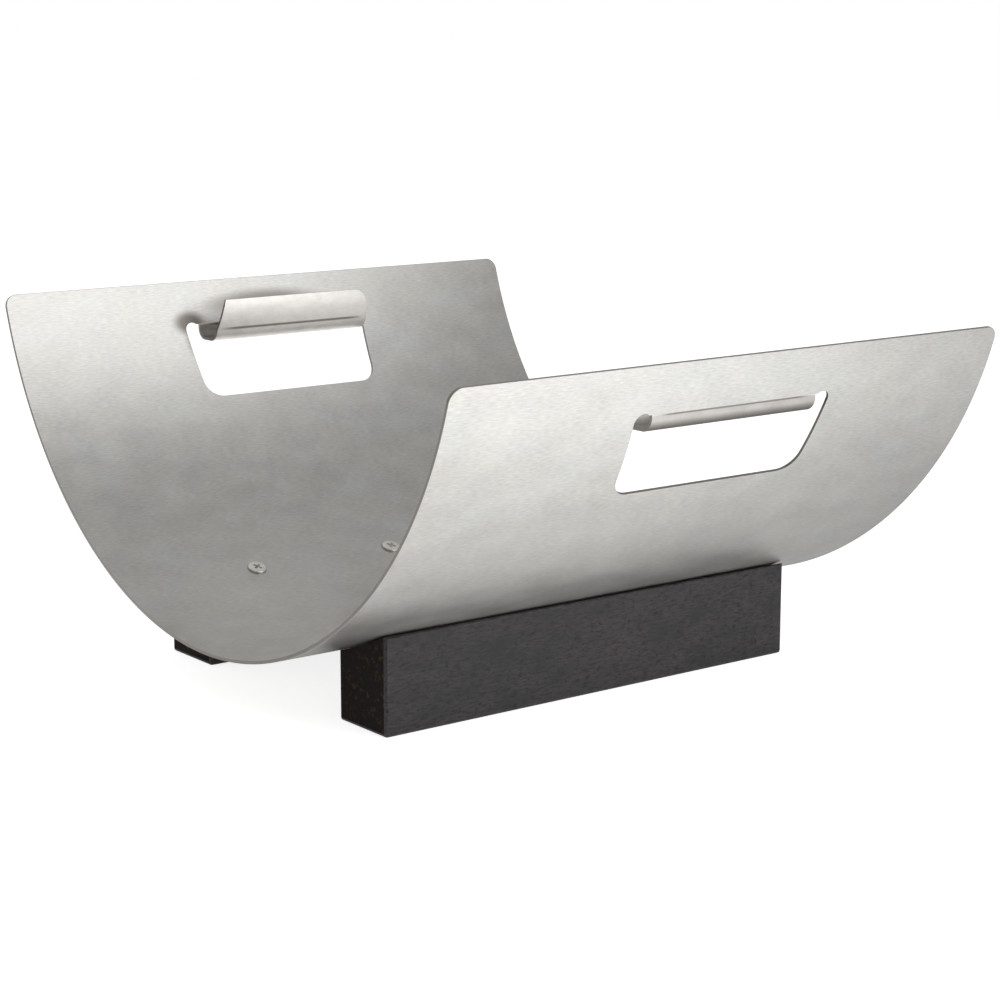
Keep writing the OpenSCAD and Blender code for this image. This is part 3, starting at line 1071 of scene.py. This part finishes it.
class LOG_HOLDER_OT_stage(bpy.types.Operator):
    """Makes the pale floor, the soft light and the camera"""

    bl_idname = "log_holder.stage"
    bl_label = "Stage"

    def execute(self, context):
        stage = context.scene.log_stage
        scene = context.scene
        half_side = 6.0
        corners = [(half_side * x, half_side * y, 0)
                   for x, y in ((-1, -1), (1, -1), (1, 1), (-1, 1))]
        mesh = bpy.data.meshes.new("floor")
        mesh.from_pydata(corners, [], [(0, 1, 2, 3)])
        floor = linked("floor", mesh)
        mesh.materials.append(new_material("pale_floor", lambda tree: self.floor(tree, stage)))

        world = bpy.data.worlds.new("studio")
        world.use_nodes = True
        self.sky(world.node_tree, stage)
        scene.world = world

        lamp = bpy.data.lights.new("key", "AREA")
        lamp.shape, lamp.energy = "RECTANGLE", stage.key
        lamp.size, lamp.size_y = stage.key_width, stage.key_height
        key = linked("key", lamp)
        away, aim = 1.6, Vector((0, 0, 0.1))
        key.location = away * way_to(24, 32)
        key.rotation_euler = (aim - key.location).to_track_quat("-Z", "Y").to_euler()

        scene.view_settings.view_transform = "Standard"
        self.camera(scene)
        return {"FINISHED"}

    def sky(self, tree, stage):
        """Soft light from above and behind, and a white backdrop for the eye and the metal."""
        tree.nodes.clear()
        ray = add(tree, "LightPath").outputs
        s = {"camera": ray["Is Camera Ray"], "glossy": ray["Is Glossy Ray"],
             "through": ray["Is Transmission Ray"],
             "way": add(tree, "TexCoord").outputs["Generated"]}
        for name, axis, edge, heart, level in (
            ("above", (0, 0, 1), 0.5, 0.95, stage.above),
            ("behind", (0, 0.96, 0.29), 0.2, 0.9, stage.behind),
            ("backdrop", (0.6, 0.8, 0), 0.75, 0.95, 1),
        ):
            chain(tree, s, [
                ("dot", "VectorMath DOT_PRODUCT", "way", axis),
                (name, "MapRange SMOOTHSTEP", "dot", edge, heart, 0, level),
            ])
        chain(tree, s, [
            ("soft", "ADD", "above", "behind"),
            ("base", "ADD", "soft", stage.around),
            ("mirrored", "MAXIMUM", "glossy", "through"),
            ("shown", "MULTIPLY", "mirrored", "backdrop"),
            ("white", "MAXIMUM", "camera", "shown"),
            ("strength", "MAXIMUM", "base", "white"),
        ])
        back = add(tree, "Background", {"Color": (1, 1, 1, 1), "Strength": s["strength"]})
        add(tree, "OutputWorld", {"Surface": back})

    def floor(self, tree, stage):
        """Pale matt paint, lifted to white for the eye, with its shadow kept.

        Metal shows the pools of light in front of the object, and the same ones behind it.
        """
        ray = add(tree, "LightPath").outputs
        s = {"camera": ray["Is Camera Ray"], "glossy": ray["Is Glossy Ray"], "pools": 0}
        s["x"], s["y"], _ = add(tree, "SeparateXYZ", {0: add(tree, "NewGeometry")}).outputs
        chain(tree, s, [
            ("off", "ABSOLUTE", "y"),
            ("place", "CombineXYZ", "x", "off"),
        ])
        for spot, heart, edge, level in (
            ((-0.3, 0.6, 0), 0.2, 0.8, 0.78),
            ((0.1, 0.6, 0), 0.05, 0.4, 0.57),
            ((0.4, 0.6, 0), 0.05, 0.4, 0.77),
            ((0.1, 0.35, 0), 0.05, 0.4, 0.22),
            ((0.7, 0.9, 0), 0.05, 0.4, 0.2),
        ):
            chain(tree, s, [
                ("far", "VectorMath DISTANCE", "place", spot),
                ("pool", "MapRange SMOOTHSTEP", "far", heart, edge, level * stage.pool, 0),
                ("pools", "ADD", "pool", "pools"),
            ])
        chain(tree, s, [
            ("mirrored", "MULTIPLY", "glossy", "pools"),
            ("seen", "MULTIPLY", "camera", stage.white),
            ("lift", "ADD", "mirrored", "seen"),
        ])
        paint = add(tree, "BsdfDiffuse", {"Color": (*stage.floor, 1)})
        glow = add(tree, "Emission", {"Strength": s["lift"]})
        return add(tree, "AddShader", {0: paint, 1: glow})

    def camera(self, scene):
        """The camera: its turn, height and roll in degrees, and its place in metres."""
        back, roll = way_to(-37.37, 11.53), math.radians(0.05)
        place = (-0.8873, -1.1862, 0.4010)
        right = (-back).cross(Vector((0, 0, 1))).normalized()
        up = right.cross(-back).normalized()
        x = right * math.cos(roll) + up * math.sin(roll)
        y = up * math.cos(roll) - right * math.sin(roll)
        data = bpy.data.cameras.new("camera")
        data.lens, data.sensor_width, data.sensor_fit = 86.33, 36, "HORIZONTAL"
        data.clip_start, data.clip_end = 0.05, 60
        camera = linked("camera", data)
        turned = Matrix((x, y, back)).transposed().to_4x4()
        camera.matrix_world = Matrix.Translation(place) @ turned
        scene.camera = camera


class LOG_HOLDER_PT_panel(bpy.types.Panel):
    """The log holder's pieces and sizes"""

    bl_idname = "LOG_HOLDER_PT_panel"
    bl_label = "Log Holder"
    bl_space_type = "VIEW_3D"
    bl_region_type = "UI"
    bl_category = "Log Holder"

    def draw(self, context):
        for operator, name, group in PARTS:
            box = self.layout.box()
            box.operator(operator.bl_idname)
            for size in group.__annotations__:
                box.prop(getattr(context.scene, name), size)


PARTS = (
    (LOG_HOLDER_OT_trough, "log_trough", TroughSettings),
    (LOG_HOLDER_OT_feet, "log_feet", FeetSettings),
    (LOG_HOLDER_OT_screws, "log_screws", ScrewSettings),
    (LOG_HOLDER_OT_stage, "log_stage", StageSettings),
)
CLASSES = [kind for operator, _, group in PARTS for kind in (group, operator)]
CLASSES.append(LOG_HOLDER_PT_panel)


def register():
    for kind in CLASSES:
        bpy.utils.register_class(kind)
    for _, name, group in PARTS:
        setattr(bpy.types.Scene, name, PointerProperty(type=group))


def unregister():
    for _, name, _ in PARTS:
        delattr(bpy.types.Scene, name)
    for kind in reversed(CLASSES):
        bpy.utils.unregister_class(kind)


def main():
    register()
    bpy.ops.log_holder.trough()
    bpy.ops.log_holder.feet()
    bpy.ops.log_holder.screws()
    bpy.ops.log_holder.stage()


if __name__ == "__main__":
    main()
